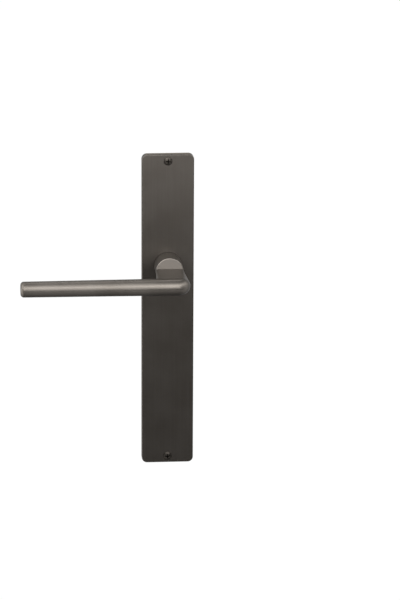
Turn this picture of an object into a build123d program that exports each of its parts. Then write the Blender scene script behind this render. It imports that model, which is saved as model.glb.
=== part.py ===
from build123d import *
import os
from math import acos, asin, cos, degrees, hypot, pi, radians, sin, sqrt

# A lever handle on a long backplate, in millimetres.
# The origin is on the spindle's axis, at the back of the plate where it meets the door.
# +Z is up, the lever points along -X and the user stands on the -Y side.
# A depth below is a distance in front of the door's face, along -Y, and angles about
# the spindle are counted from +X towards +Z, the way the lever turns when pressed.

# Backplate
plate_height = 240.0
plate_width = 39.0
plate_thickness = 6.0
plate_corner_radius = 4.0
plate_edge_radius = 0.6
plate_web = 1.8
plate_rim = 2.6
pocket_corner_radius = 1.5
spindle_from_top = 85.0

# Fixing screws and their seats in the plate
screw_from_end = 5.0
screw_boss_diameter = 9.2
screw_head_diameter = 6.4
screw_dome_height = 0.7
screw_neck_diameter = 3.0
screw_neck_past_plate = 0.6
screw_shank_diameter = 3.5
screw_length = 25.0
screw_point_length = 6.0
screw_point_diameter = 0.5
screw_recess_span = 3.4
screw_recess_width = 0.9
screw_recess_depth = 1.5
screw_recess_taper = 10.0
screw_hole_clearance = 0.25
screw_seat_clearance = 0.05

# Lever: collar, step, tab and bar
collar_diameter = 20.6
collar_reach = 19.0
collar_back_edge_radius = 0.4
step_lean = 4.5
step_edge_radius = 0.7
tab_outer_side = 13.3
tab_inner_side = 11.7
tab_edge_radius = 1.4
tab_inner_edge_radius = 2.2
tab_under_round = 4.5
bar_reach = 47.5
bar_diameter = 12.5
bar_tip_diameter = 11.7
bar_tip_edge_radius = 2.5
bar_end = 112.0
bar_taper_start = 16.0
bar_corner_radius = 9.6
bar_inner_radius = 3.0

# Shank and neck bush
shank_diameter = 14.0
shank_across_flats = 12.0
shank_tail = 0.6
bush_wall = 1.4
bush_flange_thickness = 0.5
bush_flange_diameter = 19.4
boss_wall = 1.3
running_clearance = 0.05
seat_clearance = 0.02
thrust_gap = 0.08

# Spindle and grub screw
spindle_side = 7.6
spindle_length = 85.0
spindle_in_collar = 13.0
spindle_chamfer = 0.6
spindle_clearance = 0.05
spindle_end_gap = 0.5
grub_diameter = 5.0
grub_length = 5.4
grub_from_plate = 7.0
grub_key = 2.5
grub_key_depth = 2.4
grub_clearance = 0.03
grub_tip_chamfer = 0.6

# Return spring, its driver and the stops
lever_travel = 45.0
spring_wire = 1.1
spring_pitch = 1.16
spring_boss_gap = 0.9
spring_leg_length = 8.5
spring_end_gap = 0.12
spring_contact_gap = 0.12
driver_thickness = 0.8
driver_coil_cover = 0.9
driver_lug_width = 2.6
driver_lug_depth = 4.0
driver_lug_coil_gap = 1.2
driver_lug_floor_gap = 0.4
stop_diameter = 2.6
stop_gap = 0.2
anchor_diameter = 3.0
anchor_stand_off = 3.2
anchor_angle = 270.0

# Circlip and its groove
clip_thickness = 0.8
clip_width = 2.4
clip_groove_depth = 0.5
clip_groove_play = 0.1
clip_gap_angle = 56.0
clip_gap_middle = 270.0
clip_eye_diameter = 3.6
clip_eye_hole = 1.4

# Places that follow from the sizes
front = plate_thickness
floor = plate_thickness - plate_web
plate_middle = spindle_from_top - plate_height / 2
screw_places = [spindle_from_top - screw_from_end, spindle_from_top - plate_height + screw_from_end]
screw_cone_depth = (screw_head_diameter - screw_neck_diameter) / 2

collar_radius = collar_diameter / 2
bar_radius = bar_diameter / 2
shank_radius = shank_diameter / 2
bar_level = bar_radius - collar_radius
flat_level = bar_level + bar_radius
under_level = -collar_radius
collar_back = front + bush_flange_thickness + thrust_gap
step_depth = front + collar_reach
bar_depth = front + bar_reach
turn_depth = bar_depth - (bar_corner_radius - bar_radius)
turn_side = tab_outer_side - bar_corner_radius

bush_bore_radius = shank_radius + running_clearance
bush_radius = bush_bore_radius + bush_wall
bush_hole_radius = bush_radius + seat_clearance
boss_radius = bush_hole_radius + boss_wall

spring_radius = boss_radius + spring_boss_gap + spring_wire / 2
coil_outside = spring_radius + spring_wire / 2
lug_inside = coil_outside + driver_lug_coil_gap
lug_outside = lug_inside + driver_lug_depth
stop_radius = lug_outside - stop_diameter / 2
lug_half_angle = degrees(asin((driver_lug_width / 2 + stop_gap + stop_diameter / 2) / stop_radius))
lug_rest_angle = 90 - lever_travel / 2
stop_angles = [90 - lever_travel / 2 - lug_half_angle, 90 + lever_travel / 2 + lug_half_angle]
anchor_radius = coil_outside + anchor_stand_off

# The spring's legs leave the coil in a straight line.
# One runs past the driver's lug and the other past the anchor.
leg_clear = coil_outside + spring_contact_gap
lug_corner_radius = hypot(lug_inside, driver_lug_width / 2)
lug_corner_angle = lug_rest_angle + degrees(asin(driver_lug_width / 2 / lug_corner_radius))
spring_end_angle = lug_corner_angle - degrees(acos(leg_clear / lug_corner_radius))
spring_start_angle = anchor_angle + degrees(acos((leg_clear + anchor_diameter / 2) / anchor_radius))
spring_turn = (spring_end_angle - spring_start_angle) % 360 + 360
spring_rise = spring_pitch * spring_turn / 360
leg_rise = spring_leg_length * spring_pitch / (2 * pi * spring_radius)

boss_height = spring_rise + 2 * leg_rise + spring_wire + 2 * spring_end_gap
boss_end = floor - boss_height
driver_front = boss_end - thrust_gap
driver_back = driver_front - driver_thickness
clip_front = driver_back - thrust_gap
clip_back = clip_front - clip_thickness
shank_end = clip_back - shank_tail
socket_half = spindle_side / 2 + spindle_clearance
spindle_front = front + spindle_in_collar
socket_end = spindle_front + spindle_end_gap
clip_groove_radius = shank_radius - clip_groove_depth
clip_bore_radius = clip_groove_radius + running_clearance


def turned(radius, near, far):
    """A round bar on the spindle's axis, between two depths."""
    return extrude(Plane.XZ.offset(near) * Circle(radius), amount=far - near)


def polar(radius, angle):
    """A point about the spindle's axis, as (x, z)."""
    return radius * cos(radians(angle)), radius * sin(radians(angle))


def post(diameter, radius, angle, near, far):
    """A round post beside the spindle's axis, between two depths."""
    section = Plane.XZ.offset(near) * Pos(*polar(radius, angle)) * Circle(diameter / 2)
    return extrude(section, amount=far - near)


def shank_section(clearance):
    """The shank's round with two flats, opened out by a clearance."""
    across = shank_across_flats + 2 * clearance
    wide = shank_diameter + 2 * clearance
    return Circle(wide / 2) & Rectangle(wide, across)


def screw_seat(height):
    """The clearance hole and countersink for one fixing screw."""
    hole = screw_shank_diameter / 2 + screw_hole_clearance
    rim = screw_head_diameter / 2 + screw_seat_clearance
    profile = Polyline((0, 0), (hole, 0), (hole, front - (rim - hole)), (rim, front), (0, front), close=True)
    seat = revolve(Plane.XZ.rotated((90, 0, 0)) * make_face(profile), Axis.Y)
    return Pos(0, 0, height) * seat


def backplate():
    """The hollow-backed plate with its bosses, stops and spring anchor cast in."""
    outline = Pos(0, plate_middle) * RectangleRounded(plate_width, plate_height, plate_corner_radius)
    plate = extrude(Plane.XZ * outline, amount=front)
    plate = fillet(plate.faces().sort_by(Axis.Y)[0].edges(), plate_edge_radius)
    pocket_width = plate_width - 2 * plate_rim
    pocket_height = plate_height - 2 * plate_rim
    inside = Pos(0, plate_middle) * RectangleRounded(pocket_width, pocket_height, pocket_corner_radius)
    pocket = extrude(Plane.XZ * inside, amount=floor)
    pocket -= turned(boss_radius, boss_end, floor)
    for height in screw_places:
        pocket -= Pos(0, 0, height) * turned(screw_boss_diameter / 2, 0, floor)
    for angle in stop_angles:
        pocket -= post(stop_diameter, stop_radius, angle, driver_front + driver_lug_floor_gap, floor)
    pocket -= post(anchor_diameter, anchor_radius, anchor_angle, driver_front + driver_lug_floor_gap, floor)
    plate -= pocket
    plate -= turned(bush_hole_radius, 0, front)
    for height in screw_places:
        plate -= screw_seat(height)
    return plate


def fixing_screw(height):
    """One raised countersunk wood screw with a cross recess and a slimmer neck where it passes the plate."""
    head = screw_head_diameter / 2
    neck = screw_neck_diameter / 2
    shank = screw_shank_diameter / 2
    tip = front - screw_length
    outline = Polyline((0, tip), (screw_point_diameter / 2, tip), (shank, tip + screw_point_length),
                       (shank, -screw_neck_past_plate), (neck, -screw_neck_past_plate),
                       (neck, front - screw_cone_depth), (head, front))
    top = front + screw_dome_height
    dome_radius = (head**2 + screw_dome_height**2) / (2 * screw_dome_height)
    half_way = top - dome_radius + sqrt(dome_radius**2 - (head / 2) ** 2)
    dome = ThreePointArc((head, front), (head / 2, half_way), (0, top))
    axis_line = Line((0, top), (0, tip))
    screw = revolve(Plane.XZ.rotated((90, 0, 0)) * make_face([outline, dome, axis_line]), Axis.Y)
    cross = Rectangle(screw_recess_span, screw_recess_width)
    cross += Rectangle(screw_recess_width, screw_recess_span)
    mouth = Plane.XZ.offset(top)
    screw -= extrude(mouth * cross, amount=-screw_recess_depth, taper=screw_recess_taper)
    return Pos(0, 0, height) * screw


def collar():
    """The round collar, with a half-moon step that leans back a little above the flat."""
    round_bar = turned(collar_radius, collar_back, step_depth)
    round_bar = fillet(round_bar.edges().sort_by(Axis.Y)[-1], collar_back_edge_radius)
    reach = step_depth + collar_radius
    tall = turned(collar_radius, collar_back + collar_back_edge_radius, reach)
    lean = Plane((0, -step_depth, flat_level), x_dir=(1, 0, 0),
                 z_dir=(0, -cos(radians(step_lean)), sin(radians(step_lean))))
    crown = split(tall, lean, keep=Keep.BOTTOM)
    crown = fillet(crown.edges().sort_by(Axis.Y)[0], step_edge_radius)
    above = Pos(0, 0, flat_level) * Box(4 * collar_radius, 4 * reach, 2 * collar_radius,
                                        align=(Align.CENTER, Align.CENTER, Align.MIN))
    below = Pos(0, 0, flat_level) * Box(4 * collar_radius, 4 * reach, 4 * collar_radius,
                                        align=(Align.CENTER, Align.CENTER, Align.MAX))
    back_ring = split(round_bar, Plane.XZ.offset(collar_back + 2 * collar_back_edge_radius), keep=Keep.BOTTOM)
    return (crown & above) + (round_bar & below) + back_ring


def tab_root():
    """The tab's section where it leaves the collar: the collar's round below the flat."""
    rounding = tab_edge_radius
    centre = sqrt((collar_radius - rounding) ** 2 - (flat_level - rounding) ** 2)
    grow = collar_radius / (collar_radius - rounding)
    rim_angle = degrees(asin((flat_level - rounding) / (collar_radius - rounding)))
    rim = centre * grow, (flat_level - rounding) * grow
    half = radians((90 + rim_angle) / 2)
    shoulder = centre + rounding * sin(half), flat_level - rounding + rounding * cos(half)

    def rim_arc(start, end):
        return ThreePointArc(polar(collar_radius, start), polar(collar_radius, (start + end) / 2),
                             polar(collar_radius, end))

    return make_face([
        Line((-centre, flat_level), (centre, flat_level)),
        ThreePointArc((centre, flat_level), shoulder, rim),
        rim_arc(rim_angle, -60),
        rim_arc(-60, -120),
        rim_arc(-120, -180 - rim_angle),
        ThreePointArc((-rim[0], rim[1]), (-shoulder[0], shoulder[1]), (-centre, flat_level)),
    ])


def tab_end(outer_round):
    """The tab's section beside the bar, its outer side round or cut square at the corner's turning axis."""
    inner = -tab_inner_side
    soft = tab_inner_edge_radius
    hook = inner + soft * (1 - sqrt(0.5)), flat_level - soft * (1 - sqrt(0.5))
    wall = flat_level - soft - under_level
    inner_side = [
        Bezier((inner + tab_under_round, under_level), (inner + tab_under_round / 2, under_level),
               (inner, under_level + wall / 2), (inner, flat_level - soft)),
        ThreePointArc((inner, flat_level - soft), hook, (inner + soft, flat_level)),
    ]
    outer = tab_outer_side - bar_radius if outer_round else turn_side
    top = Line((inner + soft, flat_level), (outer, flat_level))
    under = Line((outer, under_level), (inner + tab_under_round, under_level))
    if not outer_round:
        return make_face([top, Line((outer, flat_level), (outer, under_level)), under] + inner_side)

    def side_point(angle):
        x, z = polar(bar_radius, angle)
        return outer + x, bar_level + z

    split_angle = 45
    lower_middle = (split_angle - 90) / 2
    outer_side = [
        ThreePointArc(side_point(90), side_point((90 + split_angle) / 2), side_point(split_angle)),
        ThreePointArc(side_point(split_angle), side_point(lower_middle), side_point(-90)),
    ]
    return make_face([top] + outer_side + [under] + inner_side)


def bar_corner():
    """The rounded outer corner, the bar's round turned from the bar's line to the tab's side."""
    outer = tab_outer_side - bar_radius
    side = ThreePointArc((outer, flat_level), (tab_outer_side, bar_level), (outer, under_level))
    spine = Polyline((outer, under_level), (turn_side, under_level),
                     (turn_side, flat_level), (outer, flat_level))
    section = Plane.XZ.offset(turn_depth) * make_face([side, spine])
    return revolve(section, Axis((turn_side, -turn_depth, 0), (0, 0, -1)), 90)


def bar():
    """The round bar, plain beside the tab and then slightly tapered, with a softened tip."""
    start = Plane((turn_side, -bar_depth, bar_level), x_dir=(0, 1, 0), z_dir=(-1, 0, 0))
    plain_length = turn_side + bar_taper_start
    plain = extrude(start * Circle(bar_radius), amount=plain_length)
    tip_length = bar_end - bar_taper_start
    taper = start.offset(plain_length) * Cone(bar_radius, bar_tip_diameter / 2, tip_length,
                                              align=(Align.CENTER, Align.CENTER, Align.MIN))
    taper = fillet(taper.edges().sort_by(Axis.X)[0], bar_tip_edge_radius)
    return plain + taper


def inner_corner(body):
    """The edges where the tab's inner side runs into the back of the bar."""
    slack = 0.1

    def runs_in(edge):
        box = edge.bounding_box()
        beside = -tab_inner_side - slack < box.min.X and box.max.X < -tab_inner_side + tab_under_round + slack
        behind = -bar_depth - slack < box.min.Y and box.max.Y < -bar_depth + bar_radius + slack
        return beside and behind and min(box.size.Y, box.size.Z) > slack

    return body.edges().filter_by(runs_in)


def hand_piece():
    """The part of the lever that the hand meets: collar, tab and bar, with the inside of the bend rounded."""
    tab = loft([Plane.XZ.offset(step_depth) * tab_root(), Plane.XZ.offset(turn_depth) * tab_end(True)])
    shoulder = extrude(Plane.XZ.offset(turn_depth) * tab_end(False), amount=bar_depth - turn_depth)
    body = collar() + tab + shoulder + bar_corner() + bar()
    return fillet(inner_corner(body), bar_inner_radius)


def lever():
    """The lever casting with its shank, spindle socket, circlip groove and grub screw hole."""
    shank = turned(shank_radius, boss_end, collar_back + collar_back_edge_radius)
    tail = extrude(Plane.XZ.offset(shank_end) * shank_section(0), amount=boss_end - shank_end)
    body = hand_piece() + shank + tail
    socket = Rectangle(2 * socket_half, 2 * socket_half)
    body -= extrude(Plane.XZ.offset(shank_end) * socket, amount=socket_end - shank_end)
    groove_back = clip_back - clip_groove_play
    groove = turned(shank_diameter, groove_back, clip_front)
    body -= groove - turned(clip_groove_radius, groove_back, clip_front)
    return body - grub_bar(grub_diameter / 2 + grub_clearance, collar_diameter)


def grub_plane(drop, facing):
    """A level plane on the grub screw's line, a distance below the spindle's flat, facing up or down."""
    place = 0, -front - grub_from_plate, -spindle_side / 2 - drop
    return Plane(place, x_dir=(1, 0, 0), z_dir=(0, 0, facing))


def grub_bar(radius, length):
    """A round bar from the spindle's flat down through the collar's underside."""
    return extrude(grub_plane(0, -1) * Circle(radius), amount=length)


def grub_screw():
    """A socket grub screw that bears on the spindle."""
    screw = grub_bar(grub_diameter / 2, grub_length)
    screw = chamfer(screw.edges().sort_by(Axis.Z)[-1], grub_tip_chamfer)
    key = RegularPolygon(grub_key / 2, 6, major_radius=False)
    return screw - extrude(grub_plane(grub_length, 1) * key, amount=grub_key_depth)


def spindle():
    """The square spindle, from inside the collar to beyond the latch."""
    start = Plane.XZ.offset(spindle_front - spindle_length)
    rod = extrude(start * Rectangle(spindle_side, spindle_side), amount=spindle_length)
    ends = rod.faces().sort_by(Axis.Y)
    return chamfer(ends[0].edges() + ends[-1].edges(), spindle_chamfer)


def neck_bush():
    """The flanged nylon bush that the shank turns in."""
    flange_front = front + bush_flange_thickness
    bush = turned(bush_radius, boss_end, front) + turned(bush_flange_diameter / 2, front, flange_front)
    return bush - turned(bush_bore_radius, boss_end, flange_front)


def spring_driver():
    """The plate keyed on the shank, with an arm and a lug that winds the spring and meets the stops."""
    disc = Circle(coil_outside + driver_coil_cover) - shank_section(running_clearance)
    aim = Rot(0, 0, lug_rest_angle)
    arm_length = lug_outside - spring_radius
    arm = aim * Pos(spring_radius + arm_length / 2, 0) * Rectangle(arm_length, driver_lug_width)
    lug = aim * Pos(lug_inside + driver_lug_depth / 2, 0) * Rectangle(driver_lug_depth, driver_lug_width)
    plate = extrude(Plane.XZ.offset(driver_back) * (disc + arm), amount=driver_thickness)
    drop = floor - driver_lug_floor_gap - driver_front
    return plate + extrude(Plane.XZ.offset(driver_front) * lug, amount=drop)


def return_spring():
    """The torsion spring round the boss, wound the way that the lever turns."""
    coil = Helix(spring_pitch, spring_rise, spring_radius, lefthand=True)
    first = Line(coil @ 0 - (coil % 0) * spring_leg_length, coil @ 0)
    last = Line(coil @ 1, coil @ 1 + (coil % 1) * spring_leg_length)
    section = Plane(first @ 0, z_dir=first % 0) * Circle(spring_wire / 2)
    spring = sweep(section, Wire([first, coil, last]))
    first_turn = floor - spring_end_gap - spring_wire / 2 - leg_rise
    seat = Plane((0, -first_turn, 0), x_dir=(1, 0, 0), z_dir=(0, 1, 0))
    return seat * Rot(0, 0, -spring_start_angle) * spring


def circlip():
    """The external circlip behind the driver, with an eye on each side of its gap."""
    outer = clip_bore_radius + clip_width
    ring = Circle(outer) - Circle(clip_bore_radius)
    reach = 4 * outer
    sides = [polar(reach, clip_gap_middle + side * clip_gap_angle / 2) for side in (-1, 1)]
    ring -= make_face(Polyline((0, 0), *sides, close=True))
    eye_radius = clip_bore_radius + clip_eye_diameter / 2
    turn = clip_gap_angle / 2 + degrees(asin(clip_eye_diameter / 2 / eye_radius))
    for angle in (clip_gap_middle - turn, clip_gap_middle + turn):
        ring += Pos(*polar(eye_radius, angle)) * Circle(clip_eye_diameter / 2)
        ring -= Pos(*polar(eye_radius, angle)) * Circle(clip_eye_hole / 2)
    return extrude(Plane.XZ.offset(clip_back) * ring, amount=clip_thickness)


pieces = {
    "backplate": backplate(),
    "neck_bush": neck_bush(),
    "return_spring": return_spring(),
    "fixing_screws": Compound([fixing_screw(height).solid() for height in screw_places]),
    "lever": lever(),
    "spindle": spindle(),
    "grub_screw": grub_screw(),
    "spring_driver": spring_driver(),
    "circlip": circlip(),
}

os.makedirs("parts", exist_ok=True)
for name, piece in pieces.items():
    export_step(piece, f"parts/{name}.step")
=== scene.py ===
from math import cos, pi, radians, sin

import bmesh
import bpy
from mathutils import Matrix, Vector


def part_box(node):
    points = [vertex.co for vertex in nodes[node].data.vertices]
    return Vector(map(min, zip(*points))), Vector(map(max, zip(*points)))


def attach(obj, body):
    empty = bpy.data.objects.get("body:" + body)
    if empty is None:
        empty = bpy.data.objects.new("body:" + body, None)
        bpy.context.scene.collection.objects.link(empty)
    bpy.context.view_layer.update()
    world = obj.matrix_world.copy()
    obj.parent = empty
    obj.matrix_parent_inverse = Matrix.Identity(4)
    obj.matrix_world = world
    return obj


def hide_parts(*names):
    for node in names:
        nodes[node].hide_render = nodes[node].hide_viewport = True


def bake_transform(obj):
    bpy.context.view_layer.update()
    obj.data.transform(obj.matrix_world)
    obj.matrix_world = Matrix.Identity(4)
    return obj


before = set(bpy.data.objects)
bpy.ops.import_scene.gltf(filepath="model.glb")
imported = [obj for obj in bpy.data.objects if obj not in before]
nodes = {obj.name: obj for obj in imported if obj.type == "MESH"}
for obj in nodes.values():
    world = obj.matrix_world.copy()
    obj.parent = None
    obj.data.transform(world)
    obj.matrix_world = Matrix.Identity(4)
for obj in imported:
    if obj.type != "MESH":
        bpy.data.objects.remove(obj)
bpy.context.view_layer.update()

# A lever handle on a long backplate, in metres, in the part's own frame: the spindle's axis is the Y axis,
# the back of the plate is at y = 0, the user stands on the -Y side, and the lever points along -X.
# A depth is a distance in front of the door's face, along -Y.

plate_low, plate_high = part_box("backplate")
lever_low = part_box("lever")[0]
screw_low, screw_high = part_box("fixing_screws")
spring_low, spring_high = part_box("return_spring")

# The lever's own parts, as depths
step_depth = 0.025
bar_radius = 0.00625
bar_back = -lever_low.y - 2 * bar_radius
blend_run = 0.004

# The plate's edge and its hollow back
plate_half_width = plate_high.x
plate_half_height = (plate_high.z - plate_low.z) / 2
plate_middle = (plate_high.z + plate_low.z) / 2
plate_front = -plate_low.y
plate_corner = 0.004
hollow_depth = 0.0042
hollow_rim = 0.0026
hollow_half_width = plate_half_width - hollow_rim

# Fixing screws
screw_head_radius = screw_high.x
screw_spread = (screw_high.z - screw_low.z) / 2 - screw_head_radius
screw_tip = screw_high.y
screw_core_radius = 0.00175
screw_point_length = 0.006
screw_point_radius = 0.00025
thread_pitch = 0.0016
thread_crest = 0.00198
thread_half_width = 0.00042
thread_sink = 0.0002
thread_start = 0.0022
thread_end_gap = 0.0008
thread_steps = 28

# Return spring
spring_wire_radius = 0.00055
spring_start = radians(296.56)
spring_turn = radians(472.47)
spring_pitch = 0.00116
spring_leg = 0.0085
spring_coil_radius = spring_high.x - spring_wire_radius
spring_sides = 16
spring_steps = 72
spring_slope = spring_pitch / (2 * pi)

# The photograph's camera
image_width = 400
image_height = 600
camera_azimuth = radians(-3.2)
camera_elevation = radians(15.33)
camera_roll = radians(-0.18)
camera_distance = 2.303
camera_aim_right = -0.04517
camera_aim_up = -0.03324
focal_pixels = 3063.5
aim_pixel_x = 107.15
aim_pixel_y = 307.7
sensor_width = 36.0
camera_reach = 100.0

# A Mix node has a socket of each name for every kind of data, so its colours are found by their place
mix_first_colour = 6
mix_second_colour = 7
mix_colour_out = 2


class Field:
    """One output of a finish's nodes, with the arithmetic that the finishes use."""

    def __init__(self, tree, socket):
        self.tree = tree
        self.socket = socket

    def node(self, kind, settings, inputs, output=0):
        """Adds a node of a kind, sets it up, fills or links its inputs, and gives one of its outputs."""
        made = self.tree.nodes.new(kind)
        for name, value in settings.items():
            if name == "stops":
                set_stops(made.color_ramp, value)
            else:
                setattr(made, name, value)
        for name, value in inputs.items():
            if isinstance(value, Field):
                self.tree.links.new(value.socket, made.inputs[name])
            else:
                made.inputs[name].default_value = value
        return Field(self.tree, made.outputs[output])

    def maths(self, operation, *values):
        return self.node("ShaderNodeMath", {"operation": operation}, dict(enumerate(values)))

    def __add__(self, other):
        return self.maths("ADD", self, other)

    __radd__ = __add__

    def __sub__(self, other):
        return self.maths("SUBTRACT", self, other)

    def __rsub__(self, other):
        return self.maths("SUBTRACT", other, self)

    def __mul__(self, other):
        return self.maths("MULTIPLY", self, other)

    __rmul__ = __mul__

    def __truediv__(self, other):
        return self.maths("DIVIDE", self, other)

    def __rtruediv__(self, other):
        return self.maths("DIVIDE", other, self)

    def size(self):
        return self.maths("ABSOLUTE", self)

    def root(self):
        return self.maths("SQRT", self)

    def rise(self, start, end):
        """0 before start, 1 after end, and a smooth step between them. It falls where start is after end."""
        settings = {"interpolation_type": "SMOOTHSTEP"}
        low, high, first, last = (start, end, 0.0, 1.0) if start < end else (end, start, 1.0, 0.0)
        limits = {"Value": self, "From Min": low, "From Max": high, "To Min": first, "To Max": last}
        return self.node("ShaderNodeMapRange", settings, limits)

    def axes(self):
        """The three parts of a vector."""
        parts = self.tree.nodes.new("ShaderNodeSeparateXYZ")
        self.tree.links.new(self.socket, parts.inputs[0])
        return [Field(self.tree, output) for output in parts.outputs]

    def stretched(self, x, y, z):
        """A vector with each of its parts multiplied."""
        return self.node("ShaderNodeVectorMath", {"operation": "MULTIPLY"}, {0: self, 1: (x, y, z)})

    def joined(self, y, z):
        """A vector of this value and two others."""
        return self.node("ShaderNodeCombineXYZ", {}, {0: self, 1: y, 2: z})

    def noise(self, scale, detail=2.0, roughness=0.5):
        """Soft random values about a half, on this vector."""
        inputs = {"Vector": self, "Scale": scale, "Detail": detail, "Roughness": roughness}
        return self.node("ShaderNodeTexNoise", {}, inputs)

    def cells(self, scale):
        """Distance to the nearest of many scattered points, on this vector."""
        return self.node("ShaderNodeTexVoronoi", {}, {"Vector": self, "Scale": scale})

    def tint(self, first, second):
        """The first colour where this is 0, the second where it is 1."""
        inputs = {"Factor": self, mix_first_colour: first, mix_second_colour: second}
        return self.node("ShaderNodeMix", {"data_type": "RGBA"}, inputs, mix_colour_out)


def set_stops(ramp, stops):
    """Puts a colour ramp's stops in place, as (position, grey)."""
    while len(ramp.elements) < len(stops):
        ramp.elements.new(1.0)
    for element, (position, grey) in zip(ramp.elements, stops):
        element.position = position
        element.color = (grey, grey, grey, 1.0)


def finish(name, **plain):
    """A material whose shader has its plain sockets set, that shader, and the piece's own coordinates."""
    material = bpy.data.materials.new(name)
    material.use_nodes = True
    tree = material.node_tree
    shader = tree.nodes["Principled BSDF"]
    for socket, value in plain.items():
        shader.inputs[socket.replace("_", " ")].default_value = value
    place = Field(tree, tree.nodes.new("ShaderNodeTexCoord").outputs["Object"])
    return material, shader, place


def apply(shader, colour, roughness, height, depth):
    """Links a finish's colour, its roughness and its relief, which is as deep as given."""
    links = colour.tree.links
    bump = height.node("ShaderNodeBump", {}, {"Strength": 1.0, "Distance": depth, "Height": height})
    links.new(colour.socket, shader.inputs["Base Color"])
    links.new(roughness.socket, shader.inputs["Roughness"])
    links.new(bump.socket, shader.inputs["Normal"])


# Dark bronze, as metal
plate_dark = (0.072, 0.064, 0.056, 1.0)
plate_light = (0.083, 0.075, 0.067, 1.0)
plate_roughness = 0.37
screw_dark = (0.036, 0.032, 0.028, 1.0)
screw_roughness = 0.38
lever_dark = (0.122, 0.110, 0.097, 1.0)
lever_light = (0.148, 0.134, 0.120, 1.0)
lever_roughness = 0.44
bronze_worn = (0.215, 0.190, 0.160, 1.0)
bronze_cast = (0.170, 0.146, 0.118, 1.0)
# Near-black for painted shade: the screws' cross recesses, their head rims and the ring round them
painted_shade_black = (0.014, 0.012, 0.010, 1.0)

# Brush lines and turned rings: how many to the metre across and along them, and how deep they are
brush_across = 5200
brush_along = 34
tab_brush_along = 40
brush_depth = 0.000006
screw_rings = 9000
screw_ring_depth = 0.000005

# The cast back's grain, against the brush lines
cast_grain = 1900.0
cast_grain_depth = 9

# The plate's rubbed edge, the rim of its hollow and the painted shade round the screws
edge_wear_start = 0.0009
edge_wear_end = 0.0001
edge_wear_depth = 0.0012
rim_change = 0.0001
hollow_start = 0.0006
hollow_end = 0.0002
shade_ring_width = 0.0002

# The lever's step, its rubbed tip and the bend that hands have smoothed
step_start = 0.0002
step_end = 0.0004
tip_wear_start = 0.0034
tip_wear_end = 0.0004
smoothed_start = -0.030
smoothed_end = 0.002

# The screw's recess, rim and bare shank
head_change = 0.0002
recess_wear_start = 0.0026
recess_wear_end = 0.0012
recess_radius = 0.0022
recess_inner_radius = 0.0018
recess_start = 0.0006
recess_end = 0.0003
rim_start = 0.0007
rim_end = 0.0001
shank_start = 0.002
rim_back = 0.001


def bronze_plate():
    """Dark bronze, brushed up and down, thinner on the edges, as cast in the hollow back."""
    material, shader, place = finish("dark_bronze_plate", Metallic=1.0)
    x, y, z = place.axes()
    lines = place.stretched(brush_across, brush_across, brush_along).noise(1.0, 3.0, 0.6)
    drags = place.stretched(900, 900, 9).noise(1.0, 2.0)
    cloud = place.noise(38.0, 3.0)
    across = x.size() - (plate_half_width - plate_corner)
    along = (z - plate_middle).size() - (plate_half_height - plate_corner)
    outside = across.maths("MAXIMUM", across, 0.0)
    beyond = along.maths("MAXIMUM", along, 0.0)
    corner = (outside * outside + beyond * beyond).root()
    at_edge = corner.rise(plate_corner - edge_wear_start, plate_corner - edge_wear_end)
    rubbed = at_edge * (y + plate_front).rise(edge_wear_depth, 0.0)
    rubbed = rubbed * place.noise(310.0, 3.0).rise(0.38, 0.66)
    inside = x.size().rise(hollow_half_width + rim_change, hollow_half_width - rim_change)
    hollow = inside * y.rise(-hollow_depth - hollow_start, -hollow_depth - hollow_end)
    grain = place.noise(cast_grain, 3.0, 0.7)
    to_screw = (z - plate_middle).size() - screw_spread
    from_screw = (x * x + to_screw * to_screw).root()
    # Painted shade: a dark ring on the plate round each screw head, where the head meets the plate
    screw_shade_ring = from_screw.rise(screw_head_radius + shade_ring_width, screw_head_radius)
    tone = cloud * 0.5 + drags * 0.2 + lines * 0.3
    colour = tone.rise(0.34, 0.66).tint(plate_dark, plate_light)
    colour = (rubbed * 0.15).tint(colour, bronze_worn)
    colour = (screw_shade_ring * 0.6).tint(colour, painted_shade_black)
    colour = hollow.tint(colour, bronze_cast)
    roughness = plate_roughness + (lines - 0.5) * 0.08 + (cloud - 0.5) * 0.05 + hollow * 0.3
    height = lines * (1 - hollow) + grain * hollow * cast_grain_depth
    apply(shader, colour, roughness, height, brush_depth)
    return material


def bronze_lever():
    """Dark bronze, turned round the collar, brushed along the tab and the bar, smoother at the bend."""
    material, shader, place = finish("dark_bronze_lever", Metallic=1.0)
    x, y, z = place.axes()
    depth = y * -1.0
    reach = (x * x + z * z).root()
    rings = (reach * brush_across).joined(depth * brush_across, 0.0).noise(1.0, 3.0, 0.6)
    along_tab = place.stretched(brush_across, tab_brush_along, brush_across).noise(1.0, 3.0, 0.6)
    along_bar = place.stretched(brush_along, brush_across, brush_across).noise(1.0, 3.0, 0.6)
    on_tab = depth.rise(step_depth - step_start, step_depth + step_end)
    on_bar = depth.rise(bar_back - blend_run, bar_back + blend_run)
    lines = rings * (1 - on_tab) + along_tab * on_tab * (1 - on_bar) + along_bar * on_bar
    drags = place.stretched(9, 700, 700).noise(1.0, 2.0)
    cloud = place.noise(44.0, 3.0)
    tip = x.rise(lever_low.x + tip_wear_start, lever_low.x + tip_wear_end)
    rubbed = tip * place.noise(420.0, 3.0).rise(0.4, 0.68)
    tone = cloud * 0.45 + drags * 0.3 + lines * 0.25 + (1 - on_tab) * 0.2
    colour = tone.rise(0.36, 0.64).tint(lever_dark, lever_light)
    colour = (rubbed * 0.5).tint(colour, bronze_worn)
    smoothed = x.rise(smoothed_start, smoothed_end) * on_bar
    roughness = lever_roughness + (lines - 0.5) * 0.12 + (cloud - 0.5) * 0.06
    roughness = roughness - rubbed * 0.05 - smoothed * 0.06
    apply(shader, colour, roughness, lines, brush_depth)
    return material


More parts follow.
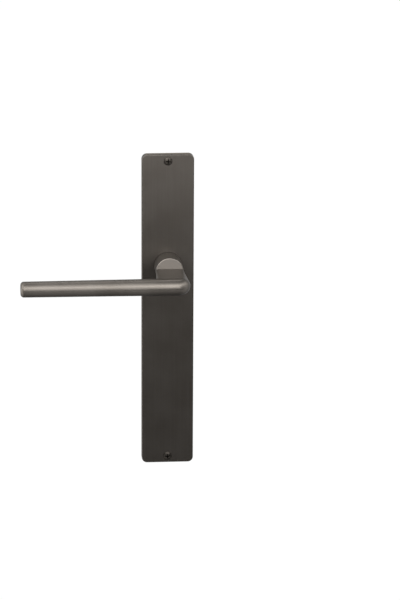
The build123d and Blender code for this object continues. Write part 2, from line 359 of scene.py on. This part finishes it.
def bronze_screw():
    """Dark bronze with turned rings, rubbed a little at the recess, with painted shade darkening its rim and
    its cross recess, and bare behind.
    """
    material, shader, place = finish("dark_bronze_screw", Metallic=1.0)
    x, y, z = place.axes()
    level = (z - plate_middle).size() - screw_spread
    reach = (x * x + level * level).root()
    rings = (reach * screw_rings).joined(y * screw_rings, 0.0).noise(1.0, 2.0, 0.6)
    cloud = place.noise(600.0, 3.0)
    on_head = y.rise(-plate_front + head_change, -plate_front - head_change)
    rubbed = on_head * reach.rise(recess_wear_start, recess_wear_end) * cloud.rise(0.45, 0.65)
    rim = reach.rise(screw_head_radius - rim_start, screw_head_radius - rim_end)
    sunk = reach.rise(recess_radius, recess_inner_radius)
    sunk = sunk * y.rise(-plate_front - recess_start, -plate_front - recess_end)
    colour = (cloud * 0.6 + rings * 0.4).rise(0.35, 0.65).tint(screw_dark, plate_dark)
    colour = (rubbed * 0.3).tint(colour, bronze_worn)
    colour = y.rise(0.0, shank_start).tint(colour, bronze_worn)
    # Painted shade: the head's rim and the cross recess are darkened near-black
    painted_shade = rim.maths("MAXIMUM", rim * 0.8, sunk) * y.rise(rim_back, 0.0)
    colour = painted_shade.tint(colour, painted_shade_black)
    roughness = screw_roughness + (rings - 0.5) * 0.2 - rubbed * 0.06
    apply(shader, colour, roughness, rings, screw_ring_depth)
    return material


# Nylon bush
nylon_dark = (0.010, 0.010, 0.011, 1.0)
nylon_light = (0.030, 0.029, 0.028, 1.0)
nylon_roughness = 0.52
nylon_grain_depth = 0.000012

# Spring wire, with its die lines to the metre
wire_clean = (0.44, 0.44, 0.45, 1.0)
wire_oiled = (0.22, 0.20, 0.17, 1.0)
wire_roughness = 0.30
wire_lines = 14000
wire_line_depth = 0.000004

# Zinc on the spindle and on the spring driver
zinc_blue = (0.41, 0.43, 0.45, 1.0)
zinc_yellow = (0.49, 0.46, 0.38, 1.0)
spindle_roughness = 0.31
driver_roughness = 0.34
zinc_line_depth = 0.000008

# Blackened circlip and grub screw
steel_black = (0.045, 0.046, 0.050, 1.0)
steel_brown = (0.085, 0.074, 0.062, 1.0)
steel_roughness = 0.40
steel_pit_depth = 0.000006

# Floor
floor_dark = (0.02, 0.02, 0.02, 1.0)
floor_light = (0.03, 0.03, 0.03, 1.0)
floor_glow_low = (0.97, 0.97, 0.97, 1.0)
floor_glow_high = (1.0, 1.0, 1.0, 1.0)
floor_roughness = 0.85
floor_relief = 0.00001
floor_half_width = 30.0
floor_drop = 0.4


def black_nylon():
    """Moulded black nylon with a fine eroded grain."""
    material, shader, place = finish("black_nylon", IOR=1.53)
    grain = place.noise(2600.0, 2.0, 0.6)
    cloud = place.noise(240.0, 2.0)
    colour = (grain * 0.5 + cloud * 0.5).tint(nylon_dark, nylon_light)
    apply(shader, colour, nylon_roughness + (cloud - 0.5) * 0.2, grain, nylon_grain_depth)
    return material


def spring_wire():
    """Drawn spring wire, oiled, with die lines that follow the turns."""
    material, shader, place = finish("spring_wire", Metallic=1.0)
    x, y, z = place.axes()
    reach = (x * x + z * z).root()
    lines = (reach * wire_lines).joined(y * wire_lines, 0.0).noise(1.0, 2.0, 0.6)
    oil = place.noise(260.0, 3.0).rise(0.4, 0.66)
    colour = oil.tint(wire_clean, wire_oiled)
    roughness = wire_roughness + (lines - 0.5) * 0.25 - oil * 0.06
    apply(shader, colour, roughness, lines, wire_line_depth)
    return material


def zinc_spindle():
    """Zinc plate on drawn square bar, with lines along it and a faint passivated tint."""
    material, shader, place = finish("zinc_spindle", Metallic=1.0)
    lines = place.stretched(4200, 26, 4200).noise(1.0, 3.0, 0.6)
    tint = place.stretched(60, 22, 60).noise(1.0, 3.0)
    bloom = place.noise(520.0, 3.0)
    colour = (tint * 0.8 + bloom * 0.2).rise(0.4, 0.62).tint(zinc_blue, zinc_yellow)
    roughness = spindle_roughness + (lines - 0.5) * 0.22 + (bloom - 0.5) * 0.1
    apply(shader, colour, roughness, lines, zinc_line_depth)
    return material


def zinc_driver():
    """Zinc plate on pressed sheet, with the sheet's rolled grain and sheared, streaked edges."""
    material, shader, place = finish("zinc_driver", Metallic=1.0)
    rolled = place.stretched(90, 2600, 2600).noise(1.0, 3.0, 0.6)
    sheared = place.stretched(3200, 60, 3200).noise(1.0, 2.0)
    bloom = place.noise(330.0, 3.0)
    colour = (bloom * 0.7 + rolled * 0.3).rise(0.36, 0.64).tint(zinc_blue, zinc_yellow)
    roughness = driver_roughness + (rolled - 0.5) * 0.2 + (bloom - 0.5) * 0.14
    apply(shader, colour, roughness, rolled * 0.5 + sheared * 0.5, zinc_line_depth)
    return material


def black_steel():
    """Spring steel blackened in oil, with brown bloom and fine pits."""
    material, shader, place = finish("black_steel", Metallic=1.0)
    bloom = place.noise(420.0, 3.0)
    pits = place.cells(2400.0).rise(0.0, 0.3)
    colour = bloom.rise(0.38, 0.66).tint(steel_black, steel_brown)
    apply(shader, colour, steel_roughness + (bloom - 0.5) * 0.24, pits, steel_pit_depth)
    return material


def pale_floor():
    """Matt white floor that glows evenly, like lit paper, with a faint unevenness."""
    material, shader, place = finish("pale_floor", Emission_Strength=1.0, Specular_IOR_Level=0.0)
    cloud = place.noise(1.6, 2.0)
    colour = cloud.tint(floor_dark, floor_light)
    apply(shader, colour, floor_roughness + (cloud - 0.5) * 0.1, cloud, floor_relief)
    glow = cloud.tint(floor_glow_low, floor_glow_high)
    glow.tree.links.new(glow.socket, shader.inputs["Emission Color"])
    return material


def new_piece(name, shape, material, smooth):
    """Makes a piece of a worked shape, in place, with one finish."""
    mesh = bpy.data.meshes.new(name)
    shape.to_mesh(mesh)
    shape.free()
    mesh.materials.append(material)
    if smooth:
        mesh.shade_smooth()
    else:
        mesh.shade_flat()
    piece = bpy.data.objects.new(name, mesh)
    bpy.context.scene.collection.objects.link(piece)
    return piece


def screw_thread(shape, height):
    """Winds one thread round a fixing screw's shank and draws it in over the point."""
    turns = (screw_tip - thread_end_gap - thread_start) / thread_pitch
    steps = round(turns * thread_steps)
    root = screw_core_radius - thread_sink
    corners = [(root, -thread_half_width), (thread_crest, 0.0), (root, thread_half_width)]
    section = [shape.verts.new((reach, thread_start + along, height)) for reach, along in corners]
    edges = [shape.edges.new((section[i], section[i - 1])) for i in range(3)]
    shape.faces.new(section)
    known = set(shape.verts) - set(section)
    wound = bmesh.ops.spin(shape, geom=section + edges, cent=(0, 0, height), axis=(0, 1, 0),
                           dvec=(0, thread_pitch * turns / steps, 0), angle=2 * pi * turns, steps=steps)
    last = [part for part in wound["geom_last"] if isinstance(part, bmesh.types.BMVert)]
    shape.faces.new(last)
    point_start = screw_tip - screw_point_length
    for corner in set(shape.verts) - known:
        drawn = max(0.0, corner.co.y - point_start) / screw_point_length
        core = screw_core_radius + (screw_point_radius - screw_core_radius) * min(1.0, drawn)
        reach = Vector((corner.co.x, 0.0, corner.co.z - height))
        wanted = max(reach.length - (screw_core_radius - core), screw_point_radius / 2)
        shift = reach * (wanted / reach.length - 1)
        corner.co += shift


def screw_threads(material):
    """The two fixing screws' threads, behind the plate."""
    shape = bmesh.new()
    for side in (1, -1):
        screw_thread(shape, plate_middle + side * screw_spread)
    bmesh.ops.recalc_face_normals(shape, faces=shape.faces)
    return new_piece("screw_threads", shape, material, False)


def wire_turn(first, last, leg_at_start):
    """A length of the spring's wire between two angles of its winding, with its straight leg at one end."""
    def middle(angle):
        turned = spring_start + angle
        level = spring_low.y + spring_wire_radius + spring_slope * (spring_leg / spring_coil_radius + angle)
        return Vector((spring_coil_radius * cos(turned), level, spring_coil_radius * sin(turned)))

    def ahead(angle):
        turned = spring_start + angle
        return Vector((-sin(turned), spring_slope / spring_coil_radius, cos(turned))).normalized()

    shape = bmesh.new()
    circle = bmesh.ops.create_circle(shape, radius=spring_wire_radius, segments=spring_sides)
    place = Matrix.Translation(middle(first)) @ ahead(first).to_track_quat("Z", "Y").to_matrix().to_4x4()
    bmesh.ops.transform(shape, matrix=place, verts=circle["verts"])
    ring = list(shape.verts) + list(shape.edges)
    steps = round(spring_steps * (last - first) / (2 * pi))
    rise = spring_slope * (last - first) / steps
    wound = bmesh.ops.spin(shape, geom=ring, cent=(0, 0, 0), axis=(0, -1, 0), dvec=(0, rise, 0),
                           angle=last - first, steps=steps)
    end = ring if leg_at_start else wound["geom_last"]
    away = -ahead(first) if leg_at_start else ahead(last)
    edges = [part for part in end if isinstance(part, bmesh.types.BMEdge)]
    drawn = bmesh.ops.extrude_edge_only(shape, edges=edges)["geom"]
    tips = [part for part in drawn if isinstance(part, bmesh.types.BMVert)]
    bmesh.ops.translate(shape, vec=away * spring_leg, verts=tips)
    rim = [part for part in drawn if isinstance(part, bmesh.types.BMEdge)]
    bmesh.ops.edgeloop_fill(shape, edges=[edge for edge in rim if edge.is_boundary])
    bmesh.ops.recalc_face_normals(shape, faces=shape.faces)
    return shape


def return_spring(material):
    """The torsion spring: a first turn that the plate holds, and a last stretch that the driver winds."""
    held = new_piece("return_spring_turn", wire_turn(0.0, 2 * pi, True), material, True)
    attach(held, "plate")
    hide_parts("return_spring")
    driven = new_piece("return_spring_leg", wire_turn(2 * pi, spring_turn, False), material, True)
    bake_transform(driven)


def dress_nodes(finishes):
    """Gives each solid its finish."""
    for name, material in finishes.items():
        for slot in nodes[name].material_slots:
            slot.material = material


# How bright the room is, by degrees above the horizon, on each side
room_strength = 8.0
room_ahead = [(-90, 0.0), (-50, 0.0), (-32, 1.4), (-22, 0.0), (-14, 0.0), (-6, 0.6), (4, 0.2), (18, 0.15),
              (30, 1.4), (42, 0.15), (55, 0.0)]
room_right = [(-90, 0.0), (-40, 0.75), (-10, 0.9), (15, 1.35), (35, 2.5), (55, 0.0)]
room_left = [(-90, 0.0), (-15, 2.8), (40, 3.5), (90, 0.0)]
room_behind = [(-90, 0.0), (-10, 0.5), (15, 0.65), (50, 0.2), (90, 7.9)]

# Where the room's sides and its back begin, by how far a way points back, and how soft its middle is
side_start = (-0.8, -0.3)
behind_start = (0.1, 0.5)
middle_softness = 0.2

# Softboxes that face the handle: azimuth, elevation, width and power
lamp_distance = 0.65
lamps = [
    ("front_lamp", 0, 20, 0.5, 2.75),
    ("left_lamp", -28, 40, 0.5, 1.7),
    ("right_lamp", 28, 20, 0.5, 0.4),
    ("far_lamp", 55, 40, 0.5, 0.5),
    ("small_lamp", 36, 41, 0.3, 0.5),
]


def way_out(azimuth, elevation):
    """The way from the handle out to a lamp or the camera."""
    return Vector((sin(azimuth) * cos(elevation), -cos(azimuth) * cos(elevation), sin(elevation)))


def room_shade(height, shades):
    """One side of the room, from 0 straight down to 1 straight up."""
    stops = [((angle + 90) / 180, shade / room_strength) for angle, shade in shades]
    return height.node("ShaderNodeValToRGB", {"stops": stops}, {0: height})


def studio():
    """Pale floor, a room of soft light and dark, and the softboxes."""
    shape = bmesh.new()
    bmesh.ops.create_grid(shape, x_segments=1, y_segments=1, size=floor_half_width)
    bmesh.ops.translate(shape, vec=(0, 0, plate_low.z - floor_drop), verts=shape.verts)
    floor = new_piece("floor", shape, pale_floor(), False)
    floor.visible_glossy = False

    world = bpy.data.worlds.new("studio")
    bpy.context.scene.world = world
    world.use_nodes = True
    tree = world.node_tree
    room = tree.nodes["Background"]
    room.inputs["Strength"].default_value = room_strength
    way = Field(tree, tree.nodes.new("ShaderNodeTexCoord").outputs["Generated"])
    x, y, z = way.axes()
    height = z.maths("ARCSINE", z) / pi + 0.5
    behind = y.rise(*behind_start)
    side = y.rise(*side_start) * (1 - behind)
    right = side * x.rise(-middle_softness, middle_softness)
    glow = room_shade(height, room_ahead) * (1 - side - behind) + room_shade(height, room_behind) * behind
    glow = glow + room_shade(height, room_right) * right + room_shade(height, room_left) * (side - right)
    seen = Field(tree, tree.nodes.new("ShaderNodeLightPath").outputs["Is Camera Ray"])
    colour = glow * (1 - seen) + seen / room_strength
    tree.links.new(colour.socket, room.inputs["Color"])

    for name, azimuth, elevation, width, power in lamps:
        lamp = bpy.data.lights.new(name, "AREA")
        lamp.shape = "SQUARE"
        lamp.size = width
        lamp.energy = power
        holder = bpy.data.objects.new(name, lamp)
        back = way_out(radians(azimuth), radians(elevation))
        holder.location = back * lamp_distance
        holder.rotation_euler = back.to_track_quat("Z", "Y").to_euler()
        holder.visible_camera = False
        bpy.context.scene.collection.objects.link(holder)


def camera():
    """The photograph's view: from a little to the left and above, through a long lens."""
    back = way_out(camera_azimuth, camera_elevation)
    right = Vector((cos(camera_azimuth), sin(camera_azimuth), 0.0))
    up = back.cross(right)
    tilt = Matrix.Rotation(camera_roll, 3, back)
    right = tilt @ right
    up = tilt @ up
    lens = bpy.data.cameras.new("camera")
    lens.sensor_width = sensor_width
    lens.lens = focal_pixels / image_height * sensor_width
    lens.shift_x = (image_width / 2 - aim_pixel_x) / image_height
    lens.shift_y = (aim_pixel_y - image_height / 2) / image_height
    lens.clip_end = camera_reach
    holder = bpy.data.objects.new("camera", lens)
    eye = back * camera_distance + right * camera_aim_right + up * camera_aim_up
    holder.matrix_world = Matrix.Translation(eye) @ Matrix((right, up, back)).transposed().to_4x4()
    bpy.context.scene.collection.objects.link(holder)
    bpy.context.scene.camera = holder
    bpy.context.scene.view_settings.view_transform = "Standard"


screw_finish = bronze_screw()
wire_finish = spring_wire()
black_finish = black_steel()
dress_nodes({
    "backplate": bronze_plate(),
    "lever": bronze_lever(),
    "fixing_screws": screw_finish,
    "neck_bush": black_nylon(),
    "spindle": zinc_spindle(),
    "spring_driver": zinc_driver(),
    "circlip": black_finish,
    "grub_screw": black_finish,
})
threads = screw_threads(screw_finish)
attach(threads, "plate")
return_spring(wire_finish)
studio()
camera()
